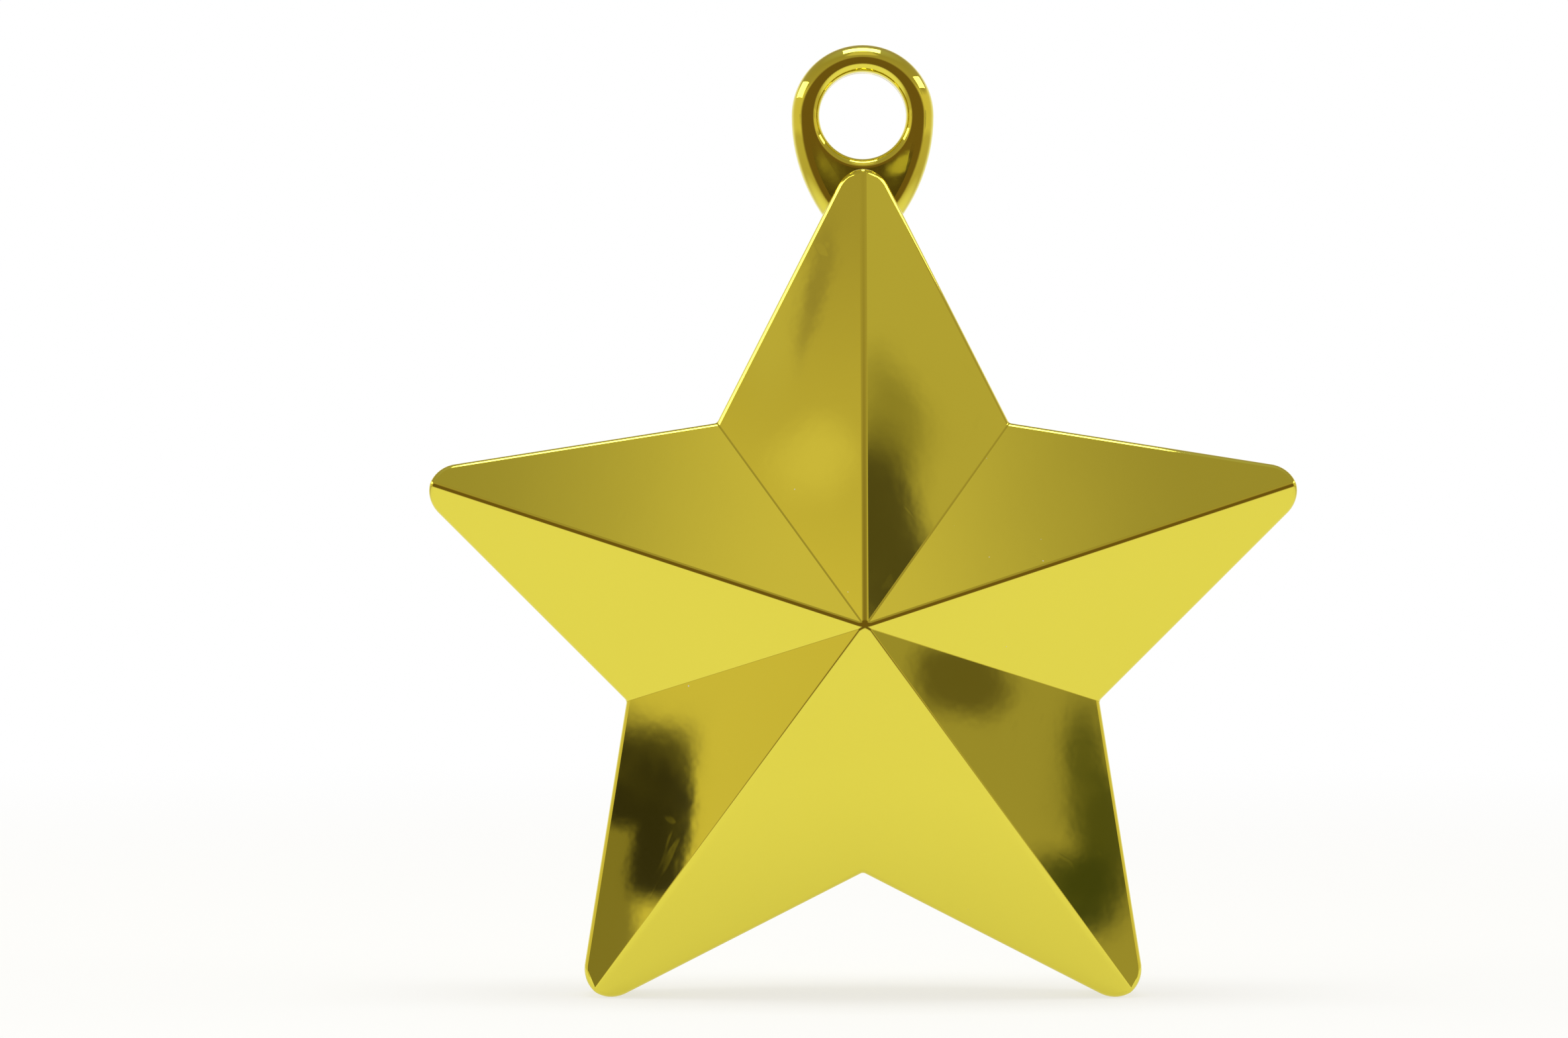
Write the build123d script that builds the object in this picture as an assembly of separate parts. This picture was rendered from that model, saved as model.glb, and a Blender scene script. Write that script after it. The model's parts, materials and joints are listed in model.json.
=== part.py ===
from build123d import *

import os
from math import asin, atan2, cos, degrees, hypot, pi, sin

# Star-shaped balloon weight. Two moulded half shells are joined round a cast ballast core, which is poured through a
# port in the rear shell, and a push-in plug closes the port. A hanging eye above the top arm takes the ribbon.
# Millimetres. +Z is up, the front faces -Y and the weight stands on its two lower arm tips.

# Star outline, seen from the front
arm_count = 5
tip_reach = 56.0  # star centre to the corner that an arm's two edges run to
notch_radius = 28.5  # star centre to the inner corner between two arms
tip_round = 3.2  # plan radius of an arm tip
least_round = 0.3  # smallest plan radius of an arm tip inside the shell

# Depth of a half, measured out from the seam
side_depth = 4.0  # straight side wall
facet_rise = 14.0  # side wall to apex

# Shell
wall = 1.8
rim_round = 0.8  # edge between the side wall and the facets
ridge_round = 0.9  # ridges from the apex out to the tips

# Seam lip on the rear shell, in a rebate in the front shell
lip_height = 1.6
lip_thickness = 0.9
seam_gap = 0.08

# Locating posts, one behind each notch, with pins on the rear shell and sockets in the front shell
post_setback = 9.0  # notch corner to the post's axis
post_wall = 1.44  # round the socket
pin_radius = 1.5
pin_length = 3.0
pin_gap = 0.06
pin_chamfer = 0.4

# Hanging eye
bore_radius = 5.0
eye_width = 3.2  # ring from the bore to its outer edge
tip_wall = 1.35  # bore to the end of the top arm
flank_radius = 20.0  # long curve from the ring's side down to the arm
tail_length = 5.6  # how far the eye's plate runs down into the arm
eye_depth = 2.4  # half of the eye's thickness
eye_round = 1.6  # outer edge of the eye
bore_round = 1.0  # edge of the bore

# Filling port in the rear pad
port_radius = 4.0
seat_width = 1.4  # ledge round the port that the plug's flange sits on
neck_wall = 1.2  # neck that stiffens the port, outside the ledge
neck_past_plug = 0.7  # neck beyond the inner end of the plug
pad_margin = 1.6  # flat from the ledge to the inner corners of the pad
prise_radius = 1.2  # notch beside the flange for a blade
prise_depth = 0.9

# Filler plug
plug_gap = 0.05  # running clearance of the plug in the port
flange_thickness = 1.2
shank_length = 4.6
shank_wall = 1.1
flange_round = 0.3
shank_chamfer = 0.4

# Ballast
cast_gap = 0.1  # shrinkage of the casting away from the shells

# Derived shape of the star
half_step = pi / arm_count
tip_half_angle = atan2(notch_radius * sin(half_step), tip_reach - notch_radius * cos(half_step))
edge_distance = tip_reach * sin(tip_half_angle)  # star centre to the line of an arm's edge
facet_slope = atan2(facet_rise, edge_distance)
tip_centre = tip_reach - tip_round / sin(tip_half_angle)  # star centre to the centre of a tip's rounding
tip_end = tip_centre + tip_round

# Derived shape of the eye and the posts
eye_radius = bore_radius + eye_width
eye_height = tip_end + tip_wall + bore_radius  # star centre to the bore's axis
post_radius = pin_radius + pin_gap + post_wall
post_circle = notch_radius - post_setback

# Derived shape of the port, the plug and the pad round them
recess_radius = port_radius + seat_width
recess_depth = flange_thickness + plug_gap
neck_radius = recess_radius + neck_wall
neck_length = flange_thickness + shank_length + neck_past_plug
shank_radius = port_radius - plug_gap
flange_radius = recess_radius - plug_gap
pad_radius = recess_radius + pad_margin  # star centre to the inner corners of the flat pad
front_depth = side_depth + facet_rise
rear_depth = side_depth + facet_rise * (1 - pad_radius / notch_radius)

# The star's centre is high enough for the lower tips to touch Z = 0, and the seam lies off Y = 0 because the rear half
# is cut off at its pad, so that the origin is under the middle of the whole weight.
centre_z = tip_centre * cos(half_step) + tip_round
seam_y = (front_depth - rear_depth) / 2
front_plane = Plane(origin=(0, seam_y, centre_z), x_dir=(1, 0, 0), z_dir=(0, -1, 0))
rear_plane = Plane(origin=(0, seam_y, centre_z), x_dir=(-1, 0, 0), z_dir=(0, 1, 0))


def polar(radius, angle):
    return (radius * cos(angle), radius * sin(angle))


def post_up(radius, height):
    """A cylinder on the seam plane, standing out along the half's depth."""
    return Cylinder(radius, height, align=(Align.CENTER, Align.CENTER, Align.MIN))


def sharp_star(inset):
    """The star's outline with sharp tips, moved in from the real one by inset."""
    scale = 1 - inset / edge_distance
    corners = []
    for arm in range(arm_count):
        tip_angle = pi / 2 + 2 * half_step * arm
        corners.append(polar(tip_reach * scale, tip_angle))
        corners.append(polar(notch_radius * scale, tip_angle + half_step))
    return make_face(Polyline(*corners, close=True))


def rounded_star(inset):
    """The star's outline with rounded tips, moved in from the real one by inset."""
    outline = sharp_star(inset)
    between = (tip_reach + notch_radius) / 2 * (1 - inset / edge_distance)
    tips = [corner for corner in outline.vertices() if hypot(corner.X, corner.Y) > between]
    return fillet(tips, max(tip_round - inset, least_round))


def faceted_half(inset):
    """Half of the star from the seam to its apex, with every face moved in by inset."""
    outline = sharp_star(inset)
    depth = side_depth - inset * (1 - sin(facet_slope)) / cos(facet_slope)
    apex = depth + facet_rise * (1 - inset / edge_distance)
    roof = loft([(Pos(0, 0, depth) * outline).face(), Vertex(0, 0, apex)], ruled=True)
    return (extrude(outline, depth) + roof) & extrude(rounded_star(inset), apex)


def padded_half(inset):
    """The rear half, which is a faceted half cut off flat at the pad."""
    return split(faceted_half(inset), Plane.XY.offset(rear_depth - inset), keep=Keep.BOTTOM)


def round_edges(half):
    """Round the rim first and then the ridges that run up from it. The valleys between them stay sharp."""
    top = half.bounding_box().max.Z
    hair = 1e-4

    def ends(edge):
        return [corner.Z for corner in edge.vertices()]

    def reach(edge):
        return max(hypot(corner.X, corner.Y) for corner in edge.vertices())

    rim = [edge for edge in half.edges() if min(ends(edge)) > hair and max(ends(edge)) < top - hair]
    half = fillet(rim, rim_round)
    rising = [edge for edge in half.edges() if min(ends(edge)) < top - hair < max(ends(edge))]
    return fillet([edge for edge in rising if reach(edge) > notch_radius], ridge_round)


def eye_outline():
    """The eye's outline: a half circle over the bore and two long curves down into the arm."""
    drop = bore_radius + tip_wall + tail_length
    sweep = degrees(asin(drop / flank_radius))
    flank_x = eye_radius - flank_radius
    crown = CenterArc((0, eye_height), eye_radius, 0, 180)
    right = CenterArc((flank_x, eye_height), flank_radius, -sweep, sweep)
    left = CenterArc((-flank_x, eye_height), flank_radius, 180, sweep)
    tail = Line(left @ 1, right @ 0)
    return make_face([crown, left, tail, right])


def eye_half():
    """Half of the hanging eye: a plate with a rounded outer edge and a bore with a rounded mouth."""
    plate = extrude(eye_outline(), eye_depth)
    top_edges = plate.faces().sort_by(Axis.Z)[-1].edges()
    plate = fillet([edge for edge in top_edges if edge.geom_type != GeomType.LINE], eye_round)
    plate -= Pos(0, eye_height, 0) * post_up(bore_radius, eye_depth)
    mouth = plate.faces().sort_by(Axis.Z)[-1].inner_wires()[0].edges()
    return fillet(mouth, bore_round)


def post_places():
    return [polar(post_circle, pi / 2 + half_step * (2 * arm + 1)) for arm in range(arm_count)]


def posts(radius, height):
    return Part() + [Pos(x, y, 0) * post_up(radius, height) for x, y in post_places()]


def hollow(outer, inner):
    """A half shell with the eye and the posts on it."""
    shell = outer + eye_half() - inner(wall)
    return shell + (posts(post_radius, front_depth) & inner(wall / 2))


def front_shell():
    shell = hollow(round_edges(faceted_half(0)), faceted_half)
    rebate = extrude(rounded_star(wall - lip_thickness - seam_gap), lip_height + seam_gap)
    rebate -= posts(post_radius, front_depth)
    sockets = posts(pin_radius + pin_gap, pin_length + pin_chamfer)
    return shell - rebate - sockets


def pins():
    pin = post_up(pin_radius, pin_length)
    pin = chamfer(pin.faces().sort_by(Axis.Z)[-1].edges(), pin_chamfer)
    return [Pos(x, y, 0) * Rot(180, 0, 0) * pin for x, y in post_places()]


def rear_shell():
    shell = hollow(round_edges(padded_half(0)), padded_half)
    lip = extrude(rounded_star(wall - lip_thickness) - rounded_star(wall), -lip_height)
    neck = Pos(0, 0, rear_depth - neck_length) * post_up(neck_radius, neck_length - wall / 2)
    port = post_up(port_radius, front_depth)
    recess = Pos(0, 0, rear_depth - recess_depth) * post_up(recess_radius, recess_depth)
    prise = Pos(0, recess_radius, rear_depth - prise_depth) * post_up(prise_radius, prise_depth)
    return shell + lip + pins() + neck - port - recess - prise


def filler_plug():
    """The plug in its port, with a hollow shank that gives a little as it is pushed in."""
    flange = Pos(0, 0, rear_depth - flange_thickness) * post_up(flange_radius, flange_thickness)
    flange = fillet(flange.edges().group_by(Axis.Z)[-1], flange_round)
    shank_end = rear_depth - flange_thickness - shank_length
    shank = Pos(0, 0, shank_end) * post_up(shank_radius, shank_length)
    shank = chamfer(shank.edges().group_by(Axis.Z)[0], shank_chamfer)
    cup = Pos(0, 0, shank_end) * post_up(shank_radius - shank_wall, shank_length)
    return flange + (shank - cup)


def ballast_core():
    """The casting, which fills the shells round the posts and the neck."""
    inset = wall + cast_gap
    holes = posts(post_radius + cast_gap, front_depth)
    neck_end = rear_depth - neck_length - cast_gap
    neck = Pos(0, 0, neck_end) * post_up(neck_radius + cast_gap, neck_length)
    front = front_plane * (faceted_half(inset) - holes)
    rear = rear_plane * (padded_half(inset) - holes - neck)
    return front + rear


os.makedirs("parts", exist_ok=True)
export_step(front_plane * front_shell(), "parts/front_shell.step")
export_step(rear_plane * rear_shell(), "parts/rear_shell.step")
export_step(rear_plane * filler_plug(), "parts/filler_plug.step")
export_step(ballast_core(), "parts/ballast_core.step")
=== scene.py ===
import json
from math import asin, atan2, cos, log2, pi, radians, sin, tan

import bmesh
import bpy
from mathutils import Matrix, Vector


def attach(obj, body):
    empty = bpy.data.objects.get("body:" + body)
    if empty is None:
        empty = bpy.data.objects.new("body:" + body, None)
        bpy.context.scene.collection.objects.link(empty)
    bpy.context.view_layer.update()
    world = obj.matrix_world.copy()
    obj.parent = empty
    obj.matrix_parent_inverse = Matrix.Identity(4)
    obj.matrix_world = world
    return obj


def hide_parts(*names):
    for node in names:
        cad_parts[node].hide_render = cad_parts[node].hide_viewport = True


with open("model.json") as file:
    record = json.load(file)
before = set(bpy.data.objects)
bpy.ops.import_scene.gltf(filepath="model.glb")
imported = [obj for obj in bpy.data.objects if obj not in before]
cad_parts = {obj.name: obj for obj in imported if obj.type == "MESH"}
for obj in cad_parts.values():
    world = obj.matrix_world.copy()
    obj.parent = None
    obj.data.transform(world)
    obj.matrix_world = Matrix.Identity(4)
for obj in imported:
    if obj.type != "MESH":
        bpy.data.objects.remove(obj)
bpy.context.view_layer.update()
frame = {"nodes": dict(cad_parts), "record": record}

# Star balloon weight: two metallised half shells with a hanging eye, a filler plug and a cast ballast core.
# Metres, +Z up, the front towards -Y.
MM = 0.001

# Star outline and facets
ARMS = 5
TIP_REACH = 56.0 * MM  # star centre to the corner that an arm's two edges run to
NOTCH_RADIUS = 28.5 * MM  # star centre to the inner corner between two arms
TIP_ROUND = 3.2 * MM
LEAST_ROUND = 0.3 * MM  # smallest rounding of an arm tip inside the shell
SIDE_DEPTH = 4.0 * MM  # straight side wall, out from the seam
FACET_RISE = 14.0 * MM  # side wall to apex
WALL = 1.8 * MM
HALF_STEP = pi / ARMS
TIP_HALF_ANGLE = atan2(NOTCH_RADIUS * sin(HALF_STEP), TIP_REACH - NOTCH_RADIUS * cos(HALF_STEP))
EDGE_DISTANCE = TIP_REACH * sin(TIP_HALF_ANGLE)  # star centre to the line of an arm's edge
FACET_SLOPE = atan2(FACET_RISE, EDGE_DISTANCE)
TIP_END = TIP_REACH - TIP_ROUND / sin(TIP_HALF_ANGLE) + TIP_ROUND

# Seam lip, locating posts and their pins
LIP_HEIGHT = 1.6 * MM
LIP_THICKNESS = 0.9 * MM
SEAM_GAP = 0.08 * MM
POST_RADIUS = 3.0 * MM
POST_SETBACK = 9.0 * MM  # notch corner to the post's axis
POST_CIRCLE = NOTCH_RADIUS - POST_SETBACK
POST_SIDES = 32
PIN_RADIUS = 1.5 * MM
PIN_LENGTH = 3.0 * MM
PIN_GAP = 0.06 * MM
SOCKET_END = 0.4 * MM  # socket beyond the end of its pin

# Hanging eye
BORE_RADIUS = 5.0 * MM
EYE_WIDTH = 3.2 * MM  # ring from the bore to its outer edge
TIP_WALL = 1.35 * MM  # bore to the end of the top arm
EYE_RADIUS = BORE_RADIUS + EYE_WIDTH
FLANK_RADIUS = 20.0 * MM  # long curve from the ring's side down to the arm
TAIL_LENGTH = 5.6 * MM  # how far the eye's plate runs down into the arm
EYE_DEPTH = 2.4 * MM  # half of the eye's thickness
EYE_ROUND = 1.9 * MM  # the eye's edges are a little rounder here than in the solid
BORE_ROUND = 1.15 * MM

# Filling port
PORT_RADIUS = 4.0 * MM
SEAT_WIDTH = 1.4 * MM  # ledge round the port that the plug's flange sits on
RECESS_RADIUS = PORT_RADIUS + SEAT_WIDTH
NECK_WALL = 1.2 * MM
NECK_RADIUS = RECESS_RADIUS + NECK_WALL
NECK_PAST_PLUG = 0.7 * MM
PRISE_RADIUS = 1.2 * MM  # notch beside the flange for a blade
PRISE_DEPTH = 0.9 * MM

# Filler plug, with a dish and a gate mark on its face that are measured in from the flange's edge
PLUG_GAP = 0.05 * MM
FLANGE_THICKNESS = 1.2 * MM
FLANGE_ROUND = 0.3 * MM
RECESS_DEPTH = FLANGE_THICKNESS + PLUG_GAP
SHANK_LENGTH = 4.6 * MM
SHANK_WALL = 1.1 * MM
SHANK_CHAMFER = 0.4 * MM
SHANK_ROOT = 0.4 * MM  # how far the shank runs into the flange
CUP_EASE = 0.1 * MM  # rounding at the mouth of the hollow shank, and its taper
NECK_LENGTH = FLANGE_THICKNESS + SHANK_LENGTH + NECK_PAST_PLUG
DISH_START = 1.0 * MM
DISH_END = 1.55 * MM
DISH_EASE = 0.15 * MM  # gentle part of the slope at its top and foot
DISH_DEPTH = 0.2 * MM
GATE_START = 4.5 * MM
GATE_FLANK = 0.05 * MM
GATE_CROWN = 0.2 * MM
GATE_HEIGHT = 0.1 * MM

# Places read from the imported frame
MOUNTS = {mount["name"]: mount for mount in frame["record"]["mounts"]}
SEAM_Y = MOUNTS["hang_eye"]["pos_m"][1]
EYE_Z = MOUNTS["hang_eye"]["pos_m"][2]
PAD_Y = MOUNTS["rear_pad"]["pos_m"][1]
CENTRE_Z = EYE_Z - BORE_RADIUS - TIP_WALL - TIP_END
CENTRE = Vector((0, SEAM_Y, CENTRE_Z))
FRONT = -1
REAR = 1

# Rounding of the moulded edges, as the width that a bevel takes from each face
RIM_BEVEL = 0.47 * MM
RIDGE_BEVEL = 0.44 * MM
VALLEY_BEVEL = 0.12 * MM
PAD_BEVEL = 0.2 * MM
NOTCH_BEVEL = 0.3 * MM
SEAM_BEVEL = 0.12 * MM

# Limits for work on the meshes, with angles in radians
CUT_PAST = 1.0 * MM  # how far a cutting tool runs past the face that it opens
MERGE_DISTANCE = 0.003 * MM  # points closer together than this become one
HAIR = 0.01 * MM  # how far off a height a point still counts as lying on it
CLEAR_ANGLE = 0.3  # least angle between two faces whose edge is rounded
SMOOTH_ANGLE = 0.55  # largest angle between two faces that are shaded as one
SIDE_LEAN = 0.05  # a face that leans less towards Y is a side wall
FLAT_LEAN = 0.995  # a face that leans more towards Y is flat
FACET_AREA = 100 * MM * MM  # only the star's facets among the leaning faces are larger

# Heights of the surface textures, in millimetres
GOLD_WAVE = 0.012
GOLD_PEEL = 0.0004
GOLD_GROOVE = -0.0003
PLUG_PEEL = 0.012
PLUG_GROOVE = -0.004
CEMENT_GRAIN = 0.05
CEMENT_PORE = -0.25

# Roughness, from clean to smudged or from dark to light cement, and what rub marks and dust do to it
GOLD_ROUGHNESS = (0.015, 0.035)
PLUG_ROUGHNESS = (0.34, 0.46)
CEMENT_ROUGHNESS = (0.8, 0.95)
GOLD_RUB = 0.05
PLUG_RUB = 0.1
DUST_ROUGHNESS = 0.7

# Rub marks and smudges
RUB_TURNS = (0.5, -0.9)  # directions of the rub marks, in radians
RUB_STRETCH = 40  # length of a rub mark in widths
RUB_EDGE = (0.69, 0.74)  # noise where a rub mark starts and where it is full
SMUDGE_EDGE = (0.4, 0.68)  # noise where a smudge starts and where it is full

# Colours, as linear red, green and blue
GOLD_LIGHT = (0.770, 0.680, 0.062)
GOLD_DEEP = (0.735, 0.640, 0.052)
DUST_COLOUR = (0.75, 0.72, 0.62)
PLUG_LIGHT = (0.58, 0.46, 0.075)
PLUG_DEEP = (0.52, 0.40, 0.062)
CEMENT_LIGHT = (0.50, 0.48, 0.45)
CEMENT_DARK = (0.42, 0.40, 0.37)
SAND_COLOUR = (0.60, 0.54, 0.44)
# painted shade: this dark colour stands for the shade inside the cement's pores
PORE_SHADE = (0.16, 0.15, 0.14)
FLOOR_COLOUR = (0.93, 0.93, 0.93, 1)
FLOOR_WHITE = (0.65, 1.0)  # share of plain white in the floor's look near the object and far from it
FLOOR_FADE = (0.12, 0.6)  # distances from the origin between which that share changes
FLOOR_RADIUS = 4.0
MIRRORED_FLOOR = (0.13, 0.35)  # where the gold stops showing the floor and shows the room below it

# The room that the gold mirrors, as the sine of the elevation and the colour there
ROOM_STOPS = [
    (-0.5, (0.56, 0.50, 0.34)),
    (-0.05, (0.62, 0.55, 0.38)),
    (0.0, (0.80, 0.73, 0.52)),
    (0.12, (0.78, 0.70, 0.48)),
    (0.365, (0.79, 0.71, 0.48)),
    (0.44, (0.47, 0.41, 0.30)),
    (0.80, (0.41, 0.365, 0.26)),
    (1.0, (0.50, 0.50, 0.50)),
]

# Soft patches in the room: azimuth from the front to the right, elevation, half width and half height, all in
# degrees, then squareness from 2 for an oval upwards, softness of the edge, and colour
ROOM_PATCHES = [
    (0.0, 2.0, 50.0, 26.0, 2, 0.20, (0.19, 0.125, 0.06)),  # dark space round the camera
    (0.85, 3.6, 0.95, 0.36, 3, 0.30, (0.08, 0.058, 0.03)),  # darkest part of it
    (0.38, 3.84, 0.09, 0.11, 2, 0.30, (0.55, 0.50, 0.23)),  # far lights seen in it
    (0.57, 3.78, 0.06, 0.13, 2, 0.30, (0.48, 0.43, 0.20)),
    (1.30, 3.83, 0.14, 0.13, 2, 0.30, (0.55, 0.50, 0.24)),
    (0.6, 56.0, 17.6, 14.0, 2, 0.22, (0.75, 0.69, 0.54)),  # glow on the ceiling
    (-55.3, 24.7, 0.4, 0.75, 2, 0.60, (0.64, 0.58, 0.46)),  # soft streaks on the wall on the left
    (-54.5, 23.3, 0.45, 0.4, 2, 0.60, (0.80, 0.73, 0.56)),
    (-54.88, 25.2, 0.12, 0.75, 2, 0.60, (0.38, 0.33, 0.26)),
    (58.0, 24.0, 4.0, 4.0, 4, 0.20, (0.58, 0.53, 0.40)),  # wall on the right
    (56.2, 23.3, 0.4, 0.7, 2, 0.60, (0.34, 0.31, 0.20)),  # shade on that wall
    (55.75, 22.1, 0.55, 1.2, 3, 0.35, (0.10, 0.09, 0.07)),  # dark opening in it
    (60.0, 4.2, 3.0, 4.0, 4, 0.20, (0.42, 0.385, 0.28)),  # low shelf on the right
    (59.25, 5.75, 0.5, 0.4, 3, 0.40, (0.16, 0.14, 0.09)),  # things on that shelf
    (60.6, 4.2, 0.26, 1.1, 3, 0.40, (0.10, 0.105, 0.05)),
    (60.25, 3.4, 0.4, 0.45, 3, 0.40, (0.065, 0.075, 0.035)),
    (-59.6, 3.6, 0.9, 1.9, 4, 0.15, (0.28, 0.25, 0.17)),  # cupboard on the left
    (-58.8, 4.75, 0.5, 0.55, 4, 0.20, (0.04, 0.036, 0.03)),  # its open doors
    (-58.55, 4.05, 0.3, 0.75, 4, 0.25, (0.04, 0.036, 0.03)),
]
BACKDROP = (180.0, 2.0, 55.0, 28.0, 3, 0.35, (1.0, 1.0, 1.0))  # lit backdrop, straight behind
ROOM_WARP = 0.008  # how far the patches' outlines wander, in radians
ROOM_WARP_SCALE = 40.0  # how closely those wanderings follow each other

# Soft boxes round the star's centre: azimuth, elevation, distance, width, height, power and colour
LAMPS = {
    "overhead_box": (0.0, 87.5, 1.16, 0.6, 0.6, 6.2, (0.85, 0.93, 1.0)),
    "left_strip": (-86.0, 30.0, 1.2, 1.1, 0.3, 3.6, (1.0, 0.98, 0.92)),
    "right_strip": (85.0, 36.0, 1.2, 1.0, 0.22, 2.4, (1.0, 0.98, 0.92)),
}

# View
VIEW_DISTANCE = 0.6
VIEW_WIDTH = 180.35 * MM
VIEW_X = -9.06 * MM
VIEW_Z = 54.83 * MM


def only(piece):
    """Make one piece the selected and active object."""
    bpy.ops.object.select_all(action="DESELECT")
    piece.select_set(True)
    bpy.context.view_layer.objects.active = piece


def edit(piece):
    only(piece)
    bpy.ops.object.mode_set(mode="EDIT")


def leave_edit():
    bpy.ops.object.mode_set(mode="OBJECT")


def pick(piece, kind, test):
    """Select the vertices, edges or faces of the piece being edited that pass the test."""
    bpy.ops.mesh.select_mode(type=kind)
    bpy.ops.mesh.select_all(action="DESELECT")
    mesh = bmesh.from_edit_mesh(piece.data)
    mesh.normal_update()
    for item in {"VERT": mesh.verts, "EDGE": mesh.edges, "FACE": mesh.faces}[kind]:
        if test(item):
            item.select_set(True)
    bmesh.update_edit_mesh(piece.data)


def combine(piece, tool, operation):
    """Join, cut or intersect the piece with a tool, which is used up."""
    only(piece)
    bpy.ops.object.modifier_add(type="BOOLEAN")
    modifier = piece.modifiers[-1]
    modifier.operation = operation
    modifier.solver = "EXACT"
    modifier.object = tool
    bpy.ops.object.modifier_apply(modifier=modifier.name)
    bpy.data.objects.remove(tool)


def outwards(piece):
    """Merge points that fall together and turn every face outwards."""
    edit(piece)
    bpy.ops.mesh.select_all(action="SELECT")
    bpy.ops.mesh.remove_doubles(threshold=MERGE_DISTANCE)
    bpy.ops.mesh.normals_make_consistent(inside=False)
    leave_edit()


def from_centre(point):
    """Distance of a point from the star's centre, seen from the front."""
    return Vector((point.x, point.z - CENTRE_Z)).length


def star_sheet(scale, y):
    """A flat star with sharp tips, facing the front."""
    bpy.ops.object.select_all(action="DESELECT")
    bpy.ops.mesh.primitive_circle_add(
        vertices=2 * ARMS, radius=TIP_REACH * scale, fill_type="NGON",
        location=(0, y, CENTRE_Z), rotation=(pi / 2, 0, 0),
    )
    sheet = bpy.context.object
    bpy.ops.object.transform_apply()
    edit(sheet)
    pick(sheet, "VERT", lambda vertex: vertex.index % 2 == 1)
    shrink = NOTCH_RADIUS / TIP_REACH
    bpy.ops.transform.resize(value=(shrink, 1, shrink), center_override=(0, y, CENTRE_Z))
    leave_edit()
    return sheet


def round_tips(sheet, scale, radius):
    """Round the tips of a flat star, with the profile that makes the bevel's curve a circle's there."""
    middle = (1 / sin(TIP_HALF_ANGLE) - 1) * tan(TIP_HALF_ANGLE) / (2 * cos(TIP_HALF_ANGLE))
    between = (TIP_REACH + NOTCH_RADIUS) / 2 * scale
    edit(sheet)
    pick(sheet, "VERT", lambda vertex: from_centre(vertex.co) > between)
    bpy.ops.mesh.bevel(
        affect="VERTICES", offset_type="OFFSET", offset=radius / tan(TIP_HALF_ANGLE),
        segments=16, profile=2 ** (2 * log2(1 - middle)), clamp_overlap=False,
    )
    leave_edit()


def pull(sheet, distance):
    """Extrude a flat sheet along Y into a closed slab, with its far face left selected."""
    edit(sheet)
    bpy.ops.mesh.select_mode(type="FACE")
    bpy.ops.mesh.select_all(action="SELECT")
    bpy.ops.mesh.extrude_region_move(TRANSFORM_OT_translate={"value": (0, distance, 0)})
    leave_edit()


def facet_roof(side, scale, apex):
    """A star-shaped pyramid that carries the facets, with its foot on the far side of the seam."""
    foot = 5 * MM
    slab = 1 * MM
    grow = (apex + foot) / FACET_RISE
    roof = star_sheet(grow, SEAM_Y - side * (foot + slab))
    pull(roof, side * slab)
    edit(roof)
    bpy.ops.mesh.poke(offset=-side * (apex + foot), center_mode="MEDIAN")
    leave_edit()
    outwards(roof)
    return roof


def rounded_slab(inset, start, end):
    """A slab with the star's outline, moved in by inset, between two places along Y."""
    scale = 1 - inset / EDGE_DISTANCE
    slab = star_sheet(scale, start)
    round_tips(slab, scale, max(TIP_ROUND - inset, LEAST_ROUND))
    pull(slab, end - start)
    outwards(slab)
    return slab


def faceted_half(side, inset, past_seam=0):
    """Half of the star, from the seam out to its apex, with every face moved in by inset."""
    scale = 1 - inset / EDGE_DISTANCE
    depth = SIDE_DEPTH - inset * (1 - sin(FACET_SLOPE)) / cos(FACET_SLOPE)
    apex = depth + FACET_RISE * scale
    half = rounded_slab(inset, SEAM_Y - side * past_seam, SEAM_Y + side * 2 * apex)
    combine(half, facet_roof(side, scale, apex), "INTERSECT")
    if side == REAR:
        edit(half)
        bpy.ops.mesh.select_all(action="SELECT")
        bpy.ops.mesh.bisect(
            plane_co=(0, PAD_Y - inset, 0), plane_no=(0, 1, 0), use_fill=True, clear_outer=True,
        )
        leave_edit()
    outwards(half)
    return half


def kind_of(face):
    """Tell a facet from a side wall and from a flat face by how far it leans towards Y."""
    lean = abs(face.normal.y)
    if lean < SIDE_LEAN:
        return "side"
    return "flat" if lean > FLAT_LEAN else "facet"


def meets(kinds, hollow=None):
    """A test for edges between two faces of these kinds at a clear angle, only hollow or raised if asked."""
    def test(edge):
        if len(edge.link_faces) != 2 or edge.calc_face_angle(0) < CLEAR_ANGLE:
            return False
        if hollow is not None and edge.is_convex == hollow:
            return False
        return sorted(kind_of(face) for face in edge.link_faces) == sorted(kinds)
    return test


def soften_edges(half):
    """Round the rim, ridges, valleys, pad, notches and seam of a half star, each by its own width."""
    widths = [
        (meets(("facet", "side")), RIM_BEVEL),
        (meets(("facet", "facet"), hollow=False), RIDGE_BEVEL),
        (meets(("facet", "facet"), hollow=True), VALLEY_BEVEL),
        (meets(("facet", "flat")), PAD_BEVEL),
        (meets(("side", "side")), NOTCH_BEVEL),
        (meets(("flat", "side")), SEAM_BEVEL),
    ]
    edit(half)
    for test, width in widths:
        pick(half, "EDGE", test)
        bpy.ops.transform.edge_bevelweight(value=width / RIM_BEVEL)
    leave_edit()
    bpy.ops.object.modifier_add(type="BEVEL")
    modifier = half.modifiers[-1]
    modifier.limit_method = "WEIGHT"
    modifier.width = RIM_BEVEL
    modifier.segments = 4
    modifier.use_clamp_overlap = False
    bpy.ops.object.modifier_apply(modifier=modifier.name)


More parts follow.
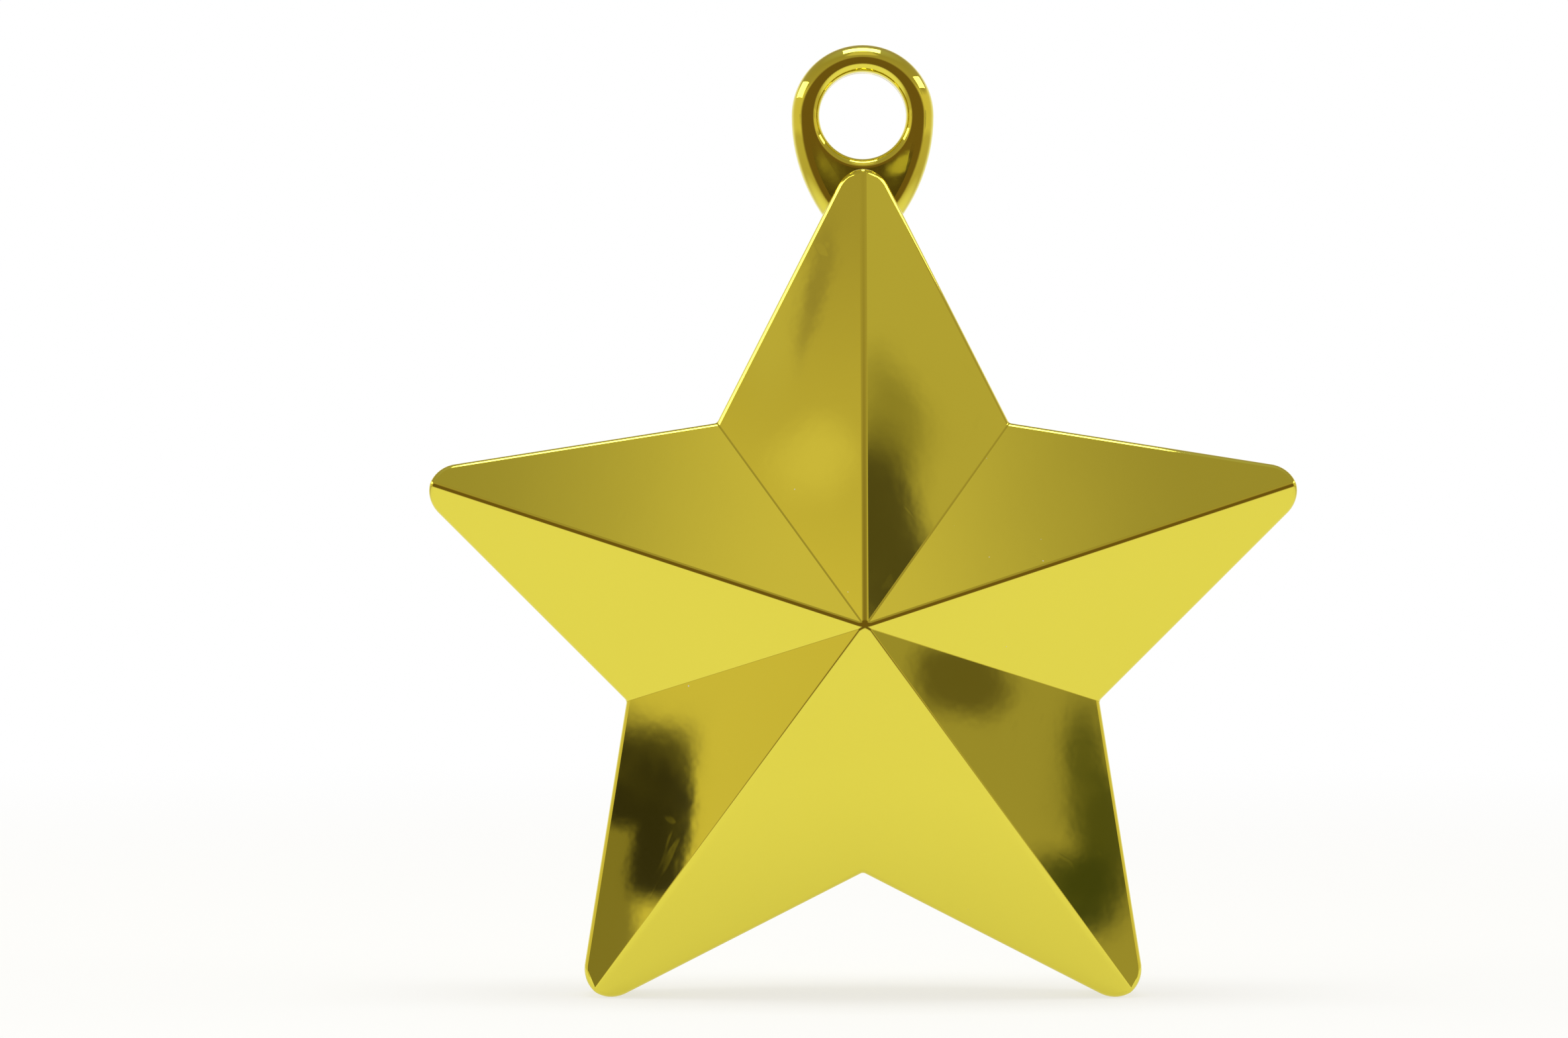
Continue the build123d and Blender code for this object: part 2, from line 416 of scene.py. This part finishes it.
def bar(radius, start, end, x=0, z=CENTRE_Z, sides=48):
    """A round bar along Y, as a tool for posts, pins and holes."""
    bpy.ops.object.select_all(action="DESELECT")
    bpy.ops.mesh.primitive_cylinder_add(
        vertices=sides, radius=radius, depth=abs(end - start), location=(x, (start + end) / 2, z),
        rotation=(pi / 2, 0, 0),
    )
    bpy.ops.object.transform_apply()
    return bpy.context.object


def eye_sheet():
    """The eye's flat outline: a half circle over the bore and two long curves down into the arm."""
    drop = BORE_RADIUS + TIP_WALL + TAIL_LENGTH
    sweep = asin(drop / FLANK_RADIUS)
    flank_x = EYE_RADIUS - FLANK_RADIUS
    place = (0, SEAM_Y, EYE_Z)
    bpy.ops.object.select_all(action="DESELECT")
    bpy.ops.mesh.primitive_circle_add(vertices=96, radius=EYE_RADIUS, location=place, rotation=(pi / 2, 0, 0))
    bpy.ops.object.transform_apply()
    sheet = bpy.context.object
    edit(sheet)
    pick(sheet, "VERT", lambda vertex: vertex.co.z < EYE_Z - HAIR)
    bpy.ops.mesh.delete(type="VERT")
    for hand in (1, -1):
        pick(sheet, "VERT", lambda vertex: abs(vertex.co.z - EYE_Z) < HAIR and vertex.co.x * hand > 0)
        bpy.ops.mesh.spin(
            steps=12, angle=-hand * sweep, center=(hand * flank_x, SEAM_Y, EYE_Z), axis=(0, 1, 0),
        )
    bpy.ops.mesh.select_all(action="SELECT")
    bpy.ops.mesh.edge_face_add()
    leave_edit()
    return sheet


def quarter_turns(steps):
    return [pi / 2 * step / steps for step in range(1, steps + 1)]


def raise_profile(sheet, side, profile):
    """Pull a flat sheet out to a profile's first point, then take its top in from point to point."""
    edit(sheet)
    bpy.ops.mesh.select_mode(type="FACE")
    bpy.ops.mesh.select_all(action="SELECT")
    if bmesh.from_edit_mesh(sheet.data).faces[:][0].normal.y * side < 0:
        bpy.ops.mesh.flip_normals()
    bpy.ops.mesh.extrude_region_move(TRANSFORM_OT_translate={"value": (0, side * profile[0][1], 0)})
    for before, after in zip(profile, profile[1:]):
        bpy.ops.mesh.inset(
            thickness=after[0] - before[0], depth=after[1] - before[1],
            use_boundary=True, use_even_offset=True,
        )
    leave_edit()
    outwards(sheet)


def disc(radius, y, z=CENTRE_Z):
    """A flat round sheet that faces along Y."""
    bpy.ops.object.select_all(action="DESELECT")
    bpy.ops.mesh.primitive_circle_add(
        vertices=72, radius=radius, fill_type="NGON", location=(0, y, z), rotation=(pi / 2, 0, 0),
    )
    bpy.ops.object.transform_apply()
    return bpy.context.object


def eye_half(side):
    """Half of the hanging eye: a plate with a rounded outer edge and a bore with a rounded mouth."""
    wall_height = EYE_DEPTH - EYE_ROUND
    turns = [0] + quarter_turns(10)
    eye = eye_sheet()
    raise_profile(eye, side, [
        (EYE_ROUND * (1 - cos(turn)), wall_height + EYE_ROUND * sin(turn)) for turn in turns
    ])
    bore = bar(BORE_RADIUS, SEAM_Y - side * CUT_PAST, SEAM_Y + side * 2 * EYE_DEPTH, z=EYE_Z, sides=96)
    combine(eye, bore, "DIFFERENCE")
    outwards(eye)
    top = SEAM_Y + side * EYE_DEPTH
    sharp = meets(("flat", "side"))
    edit(eye)
    pick(eye, "EDGE", lambda edge: sharp(edge) and abs(edge.verts[0].co.y - top) < HAIR)
    bpy.ops.mesh.bevel(offset=BORE_ROUND, segments=8, affect="EDGES", clamp_overlap=False)
    pick(eye, "EDGE", lambda edge: sharp(edge) and abs(edge.verts[0].co.y - SEAM_Y) < HAIR)
    bpy.ops.mesh.bevel(offset=SEAM_BEVEL, segments=1, affect="EDGES")
    leave_edit()
    return eye


def post_places():
    turns = [pi / 2 + HALF_STEP * (2 * arm + 1) for arm in range(ARMS)]
    return [(POST_CIRCLE * cos(turn), CENTRE_Z + POST_CIRCLE * sin(turn)) for turn in turns]


def cavity(side):
    """What is hollowed out of a half shell, which leaves the locating posts standing."""
    room = faceted_half(side, WALL, past_seam=CUT_PAST)
    if side == FRONT:
        rebate_end = SEAM_Y + side * (LIP_HEIGHT + SEAM_GAP)
        rebate = rounded_slab(WALL - LIP_THICKNESS - SEAM_GAP, SEAM_Y - side * CUT_PAST, rebate_end)
        combine(room, rebate, "UNION")
    else:
        neck_end = PAD_Y - side * NECK_LENGTH
        combine(room, bar(NECK_RADIUS, neck_end, PAD_Y), "DIFFERENCE")
    start = SEAM_Y - side * 2 * CUT_PAST
    end = SEAM_Y + side * 2 * FACET_RISE
    for x, z in post_places():
        combine(room, bar(POST_RADIUS, start, end, x, z, POST_SIDES), "DIFFERENCE")
    return room


def shell_half(name, side):
    """A half star joined to its half of the eye and hollowed out."""
    shell = faceted_half(side, 0)
    shell.name = name
    soften_edges(shell)
    combine(shell, eye_half(side), "UNION")
    combine(shell, cavity(side), "DIFFERENCE")
    return shell


def finish_shading(piece):
    """Clean the mesh, keep the facets flat and let only the rounded edges turn the light."""
    outwards(piece)
    only(piece)
    bpy.ops.object.shade_smooth_by_angle(angle=SMOOTH_ANGLE)
    bpy.ops.object.modifier_add(type="WEIGHTED_NORMAL")
    modifier = piece.modifiers[-1]
    modifier.keep_sharp = True
    modifier.weight = 100
    bpy.ops.object.modifier_apply(modifier=modifier.name)
    edit(piece)
    pick(piece, "FACE", lambda face: kind_of(face) == "facet" and face.calc_area() > FACET_AREA)
    bpy.ops.mesh.set_normals_from_faces(keep_sharp=True)
    leave_edit()


def make_front_shell():
    shell = shell_half("front_moulding", FRONT)
    start = SEAM_Y - FRONT * CUT_PAST
    end = SEAM_Y + FRONT * (PIN_LENGTH + SOCKET_END)
    for x, z in post_places():
        combine(shell, bar(PIN_RADIUS + PIN_GAP, start, end, x, z, POST_SIDES), "DIFFERENCE")
    finish_shading(shell)
    return shell


def make_rear_shell():
    shell = shell_half("rear_moulding", REAR)
    start = SEAM_Y + REAR * CUT_PAST
    lip_end = SEAM_Y - REAR * LIP_HEIGHT
    lip = rounded_slab(WALL - LIP_THICKNESS, start, lip_end)
    combine(lip, rounded_slab(WALL, SEAM_Y + 2 * REAR * CUT_PAST, lip_end - REAR * CUT_PAST), "DIFFERENCE")
    combine(shell, lip, "UNION")
    for x, z in post_places():
        combine(shell, bar(PIN_RADIUS, start, SEAM_Y - REAR * PIN_LENGTH, x, z, POST_SIDES), "UNION")
    holes = [
        (PORT_RADIUS, 2 * NECK_LENGTH, CENTRE_Z, 64),
        (RECESS_RADIUS, RECESS_DEPTH, CENTRE_Z, 72),
        (PRISE_RADIUS, PRISE_DEPTH, CENTRE_Z + RECESS_RADIUS, 32),
    ]
    for radius, depth, z, sides in holes:
        combine(shell, bar(radius, PAD_Y - depth, PAD_Y + CUT_PAST, z=z, sides=sides), "DIFFERENCE")
    finish_shading(shell)
    return shell


def make_plug():
    """The filler plug: a dished flange with a gate mark, and a hollow shank with a lead-in."""
    edge = [
        (FLANGE_ROUND * (1 - cos(turn)), FLANGE_THICKNESS - FLANGE_ROUND * (1 - sin(turn)))
        for turn in [0] + quarter_turns(4)
    ]
    dish = FLANGE_THICKNESS - DISH_DEPTH
    dished = [
        (DISH_START, FLANGE_THICKNESS),
        (DISH_START + DISH_EASE, FLANGE_THICKNESS - 0.2 * DISH_DEPTH),
        (DISH_END - DISH_EASE, FLANGE_THICKNESS - 0.8 * DISH_DEPTH),
        (DISH_END, dish),
        (GATE_START, dish),
        (GATE_START + GATE_FLANK, dish + 0.8 * GATE_HEIGHT),
        (GATE_START + GATE_CROWN, dish + GATE_HEIGHT),
    ]
    plug = disc(RECESS_RADIUS - PLUG_GAP, PAD_Y - FLANGE_THICKNESS)
    plug.name = "push_in_plug"
    raise_profile(plug, REAR, edge + dished)
    end = SHANK_ROOT + SHANK_LENGTH
    shank = disc(PORT_RADIUS - PLUG_GAP, PAD_Y - FLANGE_THICKNESS + SHANK_ROOT)
    raise_profile(shank, FRONT, [
        (0, end - SHANK_CHAMFER),
        (SHANK_CHAMFER, end),
        (SHANK_WALL - CUP_EASE, end),
        (SHANK_WALL, end - CUP_EASE),
        (SHANK_WALL + CUP_EASE, SHANK_ROOT),
    ])
    combine(plug, shank, "UNION")
    finish_shading(plug)
    return plug


# Shader helpers
def add(tree, kind, inputs=(), **settings):
    """Add a node. Each input is a number, a colour or the socket that feeds it."""
    node = tree.nodes.new(kind)
    for label, value in settings.items():
        setattr(node, label, value)
    for label, value in dict(inputs).items():
        if isinstance(value, bpy.types.NodeSocket):
            tree.links.new(value, node.inputs[label])
        else:
            node.inputs[label].default_value = value
    return node


def maths(tree, operation, first, second=0.0):
    return add(tree, "ShaderNodeMath", {0: first, 1: second}, operation=operation).outputs[0]


def fade(tree, value, start, end, low=0.0, high=1.0):
    """Take a value smoothly from low at start to high at end."""
    limits = {"Value": value, "From Min": start, "From Max": end, "To Min": low, "To Max": high}
    return add(tree, "ShaderNodeMapRange", limits, interpolation_type="SMOOTHSTEP").outputs["Result"]


def fade_straight(tree, value, start, end):
    """Take a value evenly from 0 at start to 1 at end."""
    limits = {"Value": value, "From Min": start, "From Max": end}
    return add(tree, "ShaderNodeMapRange", limits).outputs["Result"]


def blend_colours(tree, mask, first, second):
    mix = add(tree, "ShaderNodeMix", data_type="RGBA")
    for label, value in (("Factor_Float", mask), ("A_Color", first), ("B_Color", second)):
        socket = next(item for item in mix.inputs if item.identifier == label)
        if isinstance(value, bpy.types.NodeSocket):
            tree.links.new(value, socket)
        else:
            socket.default_value = (*value, 1)
    return next(item for item in mix.outputs if item.identifier == "Result_Color")


def object_place(tree):
    return add(tree, "ShaderNodeTexCoord").outputs["Object"]


def noise(tree, scale, detail=2.0, roughness=0.5, place=None):
    inputs = {"Vector": place or object_place(tree), "Scale": scale, "Detail": detail, "Roughness": roughness}
    return add(tree, "ShaderNodeTexNoise", inputs).outputs["Fac"]


# Effects that more than one material shares
def new_group(name, inputs, outputs):
    """An empty shader group with number sockets, with its two end nodes."""
    group = bpy.data.node_groups.new(name, "ShaderNodeTree")
    for label, value in inputs.items():
        socket = group.interface.new_socket(label, in_out="INPUT", socket_type="NodeSocketFloat")
        socket.default_value = value
    for label in outputs:
        group.interface.new_socket(label, in_out="OUTPUT", socket_type="NodeSocketFloat")
    return group, group.nodes.new("NodeGroupInput"), group.nodes.new("NodeGroupOutput")


def mould_texture_group():
    """The slow waviness and the fine orange peel of a moulded surface, as two heights from 0 to 1."""
    group, entry, end = new_group("mould_texture", {"Wave Scale": 60, "Peel Scale": 900}, ("Wave", "Peel"))
    group.links.new(noise(group, entry.outputs["Wave Scale"], 1.0, 0.4), end.inputs["Wave"])
    group.links.new(noise(group, entry.outputs["Peel Scale"], 1.0, 0.5), end.inputs["Peel"])
    return group


def speck_group():
    """Specks of mixed size. Size is the largest, in cells. Cover is the share of cells with a speck."""
    group, entry, end = new_group("specks", {"Scale": 400, "Size": 0.1, "Cover": 0.1}, ("Mask",))
    grid = {"Vector": object_place(group), "Scale": entry.outputs["Scale"]}
    cells = add(group, "ShaderNodeTexVoronoi", grid)
    chance = add(group, "ShaderNodeSeparateColor", {"Color": cells.outputs["Color"]})
    size = maths(group, "MULTIPLY", chance.outputs["Green"], entry.outputs["Size"])
    speck = maths(group, "LESS_THAN", cells.outputs["Distance"], size)
    held = maths(group, "LESS_THAN", chance.outputs["Red"], entry.outputs["Cover"])
    group.links.new(maths(group, "MULTIPLY", speck, held), end.inputs["Mask"])
    return group


def hairline_group():
    """Fine straight rub marks in two directions."""
    group, entry, end = new_group("hairlines", {"Scale": 500, "Amount": 0.5}, ("Mask",))
    place = object_place(group)
    marks = []
    for turn in RUB_TURNS:
        turned = {"Vector": place, "Rotation": (0, turn, 0), "Scale": (1, 1, RUB_STRETCH)}
        stretch = add(group, "ShaderNodeMapping", turned, vector_type="TEXTURE")
        field = noise(group, entry.outputs["Scale"], 2.0, 0.6, stretch.outputs["Vector"])
        marks.append(fade(group, field, *RUB_EDGE))
    both = maths(group, "MAXIMUM", *marks)
    group.links.new(maths(group, "MULTIPLY", both, entry.outputs["Amount"]), end.inputs["Mask"])
    return group


def smudge_group():
    """Soft cloudy patches left by handling."""
    group, entry, end = new_group("handling_smudge", {"Scale": 45}, ("Mask",))
    cloud = noise(group, entry.outputs["Scale"], 4.0, 0.6)
    group.links.new(fade(group, cloud, *SMUDGE_EDGE), end.inputs["Mask"])
    return group


MOULD_TEXTURE = mould_texture_group()
SPECKS = speck_group()
HAIRLINES = hairline_group()
SMUDGE = smudge_group()


def use(tree, group, **values):
    """Place a shared effect in a material with its own values."""
    node = tree.nodes.new("ShaderNodeGroup")
    node.node_tree = group
    for label, value in values.items():
        node.inputs[label.replace("_", " ")].default_value = value
    return node.outputs


def new_material(name):
    material = bpy.data.materials.new(name)
    material.use_nodes = True
    return material, material.node_tree, material.node_tree.nodes["Principled BSDF"]


def feed(tree, shader, **sockets):
    for label, socket in sockets.items():
        tree.links.new(socket, shader.inputs[label.replace("_", " ")])


def surface_bump(tree, height):
    """Turn a height in millimetres into a normal."""
    return add(tree, "ShaderNodeBump", {"Height": height, "Distance": MM, "Strength": 1.0}).outputs["Normal"]


def gold_finish():
    """Metallised plastic under yellow lacquer: a mirror with slow waves, smudges, rub marks and dust."""
    material, tree, shader = new_material("gold_metallised")
    mould = use(tree, MOULD_TEXTURE, Wave_Scale=55, Peel_Scale=700)
    smudge = use(tree, SMUDGE, Scale=38)["Mask"]
    rubbed = use(tree, HAIRLINES, Scale=420, Amount=0.3)["Mask"]
    dust = use(tree, SPECKS, Scale=500, Size=0.05, Cover=0.12)["Mask"]
    lacquer = blend_colours(tree, noise(tree, 24, 3.0), GOLD_DEEP, GOLD_LIGHT)
    colour = blend_colours(tree, dust, lacquer, DUST_COLOUR)
    clean = fade(tree, smudge, 0.0, 1.0, *GOLD_ROUGHNESS)
    gloss = maths(tree, "ADD", clean, maths(tree, "MULTIPLY", rubbed, GOLD_RUB))
    waves = maths(tree, "MULTIPLY", mould["Wave"], GOLD_WAVE)
    peel = maths(tree, "MULTIPLY", mould["Peel"], GOLD_PEEL)
    grooves = maths(tree, "MULTIPLY", rubbed, GOLD_GROOVE)
    height = maths(tree, "ADD", maths(tree, "ADD", waves, peel), grooves)
    feed(
        tree, shader, Base_Color=colour, Metallic=maths(tree, "SUBTRACT", 1.0, dust),
        Roughness=maths(tree, "MAXIMUM", gloss, maths(tree, "MULTIPLY", dust, DUST_ROUGHNESS)),
        Normal=surface_bump(tree, height),
    )
    shader.inputs["Coat Weight"].default_value = 0.5
    shader.inputs["Coat Roughness"].default_value = 0.04
    return material


def plug_finish():
    """Satin mustard plastic, moulded in colour."""
    material, tree, shader = new_material("plug_plastic")
    mould = use(tree, MOULD_TEXTURE, Wave_Scale=180, Peel_Scale=2600)
    smudge = use(tree, SMUDGE, Scale=160)["Mask"]
    rubbed = use(tree, HAIRLINES, Scale=900, Amount=0.8)["Mask"]
    dust = use(tree, SPECKS, Scale=900, Size=0.08, Cover=0.1)["Mask"]
    tone = blend_colours(tree, mould["Wave"], PLUG_DEEP, PLUG_LIGHT)
    colour = blend_colours(tree, dust, tone, DUST_COLOUR)
    clean = fade(tree, smudge, 0.0, 1.0, *PLUG_ROUGHNESS)
    gloss = maths(tree, "ADD", clean, maths(tree, "MULTIPLY", rubbed, PLUG_RUB))
    peel = maths(tree, "MULTIPLY", mould["Peel"], PLUG_PEEL)
    height = maths(tree, "ADD", peel, maths(tree, "MULTIPLY", rubbed, PLUG_GROOVE))
    feed(tree, shader, Base_Color=colour, Roughness=gloss, Normal=surface_bump(tree, height))
    return material


def cement_finish():
    """Cast cement with sand grains, and pores darkened with painted shade."""
    material, tree, shader = new_material("ballast_cement")
    sand = use(tree, SPECKS, Scale=1100, Size=0.3, Cover=0.6)["Mask"]
    pores = use(tree, SPECKS, Scale=420, Size=0.16, Cover=0.3)["Mask"]
    cloud = use(tree, SMUDGE, Scale=120)["Mask"]
    paste = blend_colours(tree, cloud, CEMENT_DARK, CEMENT_LIGHT)
    grained = blend_colours(tree, maths(tree, "MULTIPLY", sand, 0.5), paste, SAND_COLOUR)
    # painted shade: the pores are darkened with a painted shade colour that stands for the shade inside them
    colour = blend_colours(tree, maths(tree, "MULTIPLY", pores, 0.7), grained, PORE_SHADE)
    grain = maths(tree, "MULTIPLY", noise(tree, 2400, 3.0, 0.6), CEMENT_GRAIN)
    height = maths(tree, "ADD", grain, maths(tree, "MULTIPLY", pores, CEMENT_PORE))
    feed(
        tree, shader, Base_Color=colour, Roughness=fade(tree, cloud, 0.0, 1.0, *CEMENT_ROUGHNESS),
        Normal=surface_bump(tree, height),
    )
    return material


def dress(piece, material):
    piece.data.materials.clear()
    piece.data.materials.append(material)


def place_piece(piece, node, body, material):
    """Hand a finished piece over: what it stands for, what it moves with and what it is made of."""
    dress(piece, material)
    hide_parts(node)
    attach(piece, body)


def make_floor():
    """A pale round floor with a soft shadow near the object, which runs out into plain white.

    What the gold mirrors passes through it farther out, down to the room.
    """
    bpy.ops.object.select_all(action="DESELECT")
    bpy.ops.mesh.primitive_circle_add(vertices=128, radius=FLOOR_RADIUS, fill_type="NGON")
    floor = bpy.context.object
    floor.name = "studio_floor"
    material, tree, shader = new_material("studio_floor")
    shader.inputs["Base Color"].default_value = FLOOR_COLOUR
    shader.inputs["Roughness"].default_value = 0.9
    shader.inputs["Specular IOR Level"].default_value = 0.1
    away = add(tree, "ShaderNodeVectorMath", {0: object_place(tree)}, operation="LENGTH").outputs["Value"]
    rays = add(tree, "ShaderNodeLightPath").outputs
    mirrored = maths(tree, "MAXIMUM", rays["Is Glossy Ray"], rays["Is Transmission Ray"])
    seen = maths(tree, "MAXIMUM", rays["Is Camera Ray"], mirrored)
    share = maths(tree, "MULTIPLY", fade(tree, away, *FLOOR_FADE, *FLOOR_WHITE), seen)
    white = add(tree, "ShaderNodeEmission", {"Strength": 1.0})
    mixed = add(tree, "ShaderNodeMixShader", {"Fac": share})
    tree.links.new(shader.outputs["BSDF"], mixed.inputs[1])
    tree.links.new(white.outputs["Emission"], mixed.inputs[2])
    passed = maths(tree, "MULTIPLY", fade(tree, away, *MIRRORED_FLOOR), mirrored)
    look = add(tree, "ShaderNodeMixShader", {"Fac": passed})
    clear = add(tree, "ShaderNodeBsdfTransparent")
    tree.links.new(mixed.outputs["Shader"], look.inputs[1])
    tree.links.new(clear.outputs["BSDF"], look.inputs[2])
    tree.links.new(look.outputs["Shader"], tree.nodes["Material Output"].inputs["Surface"])
    dress(floor, material)


def wander(tree, way):
    """Shift a direction a little to and fro, so that what lies there gets an uneven outline."""
    field = add(tree, "ShaderNodeTexNoise", {"Vector": way, "Scale": ROOM_WARP_SCALE, "Detail": 2.0})
    middle = {0: field.outputs["Color"], 1: (0.5, 0.5, 0.5)}
    centred = add(tree, "ShaderNodeVectorMath", middle, operation="SUBTRACT")
    reach = {0: centred.outputs["Vector"], "Scale": ROOM_WARP}
    shift = add(tree, "ShaderNodeVectorMath", reach, operation="SCALE")
    return add(tree, "ShaderNodeVectorMath", {0: way, 1: shift.outputs["Vector"]}).outputs["Vector"]


def patch_mask(tree, azimuth, elevation, patch):
    """A soft patch in the room, 1 inside it and 0 outside."""
    middle_azimuth, middle_elevation, half_width, half_height, squareness, softness, colour = patch
    offsets = [(azimuth, middle_azimuth, half_width), (elevation, middle_elevation, half_height)]
    powers = []
    for angle, middle, half in offsets:
        offset = maths(tree, "ABSOLUTE", maths(tree, "DIVIDE", maths(tree, "SUBTRACT", angle, middle), half))
        powers.append(maths(tree, "POWER", offset, squareness))
    reach = maths(tree, "POWER", maths(tree, "ADD", *powers), 1 / squareness)
    return fade(tree, reach, 1 + softness, 1 - softness)


def make_room():
    """A warm room with soft patches and a lit backdrop, which the gold mirrors. The camera sees white."""
    world = bpy.data.worlds.new("studio_room")
    bpy.context.scene.world = world
    world.use_nodes = True
    tree = world.node_tree
    way = add(tree, "ShaderNodeTexCoord").outputs["Generated"]
    axes = add(tree, "ShaderNodeSeparateXYZ", {"Vector": wander(tree, way)}).outputs
    ramp = add(tree, "ShaderNodeValToRGB", {"Fac": fade_straight(tree, axes["Z"], -1.0, 1.0)})
    stops = ramp.color_ramp.elements
    while len(stops) < len(ROOM_STOPS):
        stops.new(0.5)
    for stop, (height, colour) in zip(stops, ROOM_STOPS):
        stop.position = (height + 1) / 2
        stop.color = (*colour, 1)
    room = ramp.outputs["Color"]
    forwards = maths(tree, "MULTIPLY", axes["Y"], -1.0)
    azimuth = maths(tree, "DEGREES", maths(tree, "ARCTAN2", axes["X"], forwards))
    elevation = maths(tree, "DEGREES", maths(tree, "ARCSINE", axes["Z"]))
    for patch in ROOM_PATCHES:
        room = blend_colours(tree, patch_mask(tree, azimuth, elevation, patch), room, patch[-1])
    turned_away = maths(tree, "ABSOLUTE", azimuth)
    room = blend_colours(tree, patch_mask(tree, turned_away, elevation, BACKDROP), room, BACKDROP[-1])
    seen = add(tree, "ShaderNodeLightPath").outputs["Is Camera Ray"]
    tree.links.new(blend_colours(tree, seen, room, (1, 1, 1)), tree.nodes["Background"].inputs["Color"])


def direction(azimuth, elevation):
    """The direction at an azimuth, counted from the front to the right, and an elevation, both in degrees."""
    turn = radians(azimuth)
    rise = radians(elevation)
    return Vector((sin(turn) * cos(rise), -cos(turn) * cos(rise), sin(rise)))


def make_lamp(name, azimuth, elevation, distance, width, height, power, colour):
    """A soft box that faces the star's centre."""
    light = bpy.data.lights.new(name, "AREA")
    light.shape = "RECTANGLE"
    light.size = width
    light.size_y = height
    light.energy = power
    light.color = colour
    lamp = bpy.data.objects.new(name, light)
    bpy.context.collection.objects.link(lamp)
    way = direction(azimuth, elevation)
    lamp.location = CENTRE + distance * way
    lamp.rotation_euler = (-way).to_track_quat("-Z", "Y").to_euler()


def make_camera():
    """The camera squarely in front, a little left of the star, with the lens that frames the view."""
    camera = bpy.data.objects.new("camera", bpy.data.cameras.new("camera"))
    bpy.context.collection.objects.link(camera)
    camera.location = (VIEW_X, -VIEW_DISTANCE, VIEW_Z)
    camera.rotation_euler = (pi / 2, 0, 0)
    camera.data.lens = camera.data.sensor_width * VIEW_DISTANCE / VIEW_WIDTH
    bpy.context.scene.camera = camera


gold = gold_finish()
place_piece(make_front_shell(), "front_shell", "weight", gold)
place_piece(make_rear_shell(), "rear_shell", "weight", gold)
place_piece(make_plug(), "filler_plug", "plug", plug_finish())
dress(frame["nodes"]["ballast_core"], cement_finish())

make_floor()
make_room()
for name, settings in LAMPS.items():
    make_lamp(name, *settings)
make_camera()
bpy.context.scene.view_settings.view_transform = "Standard"
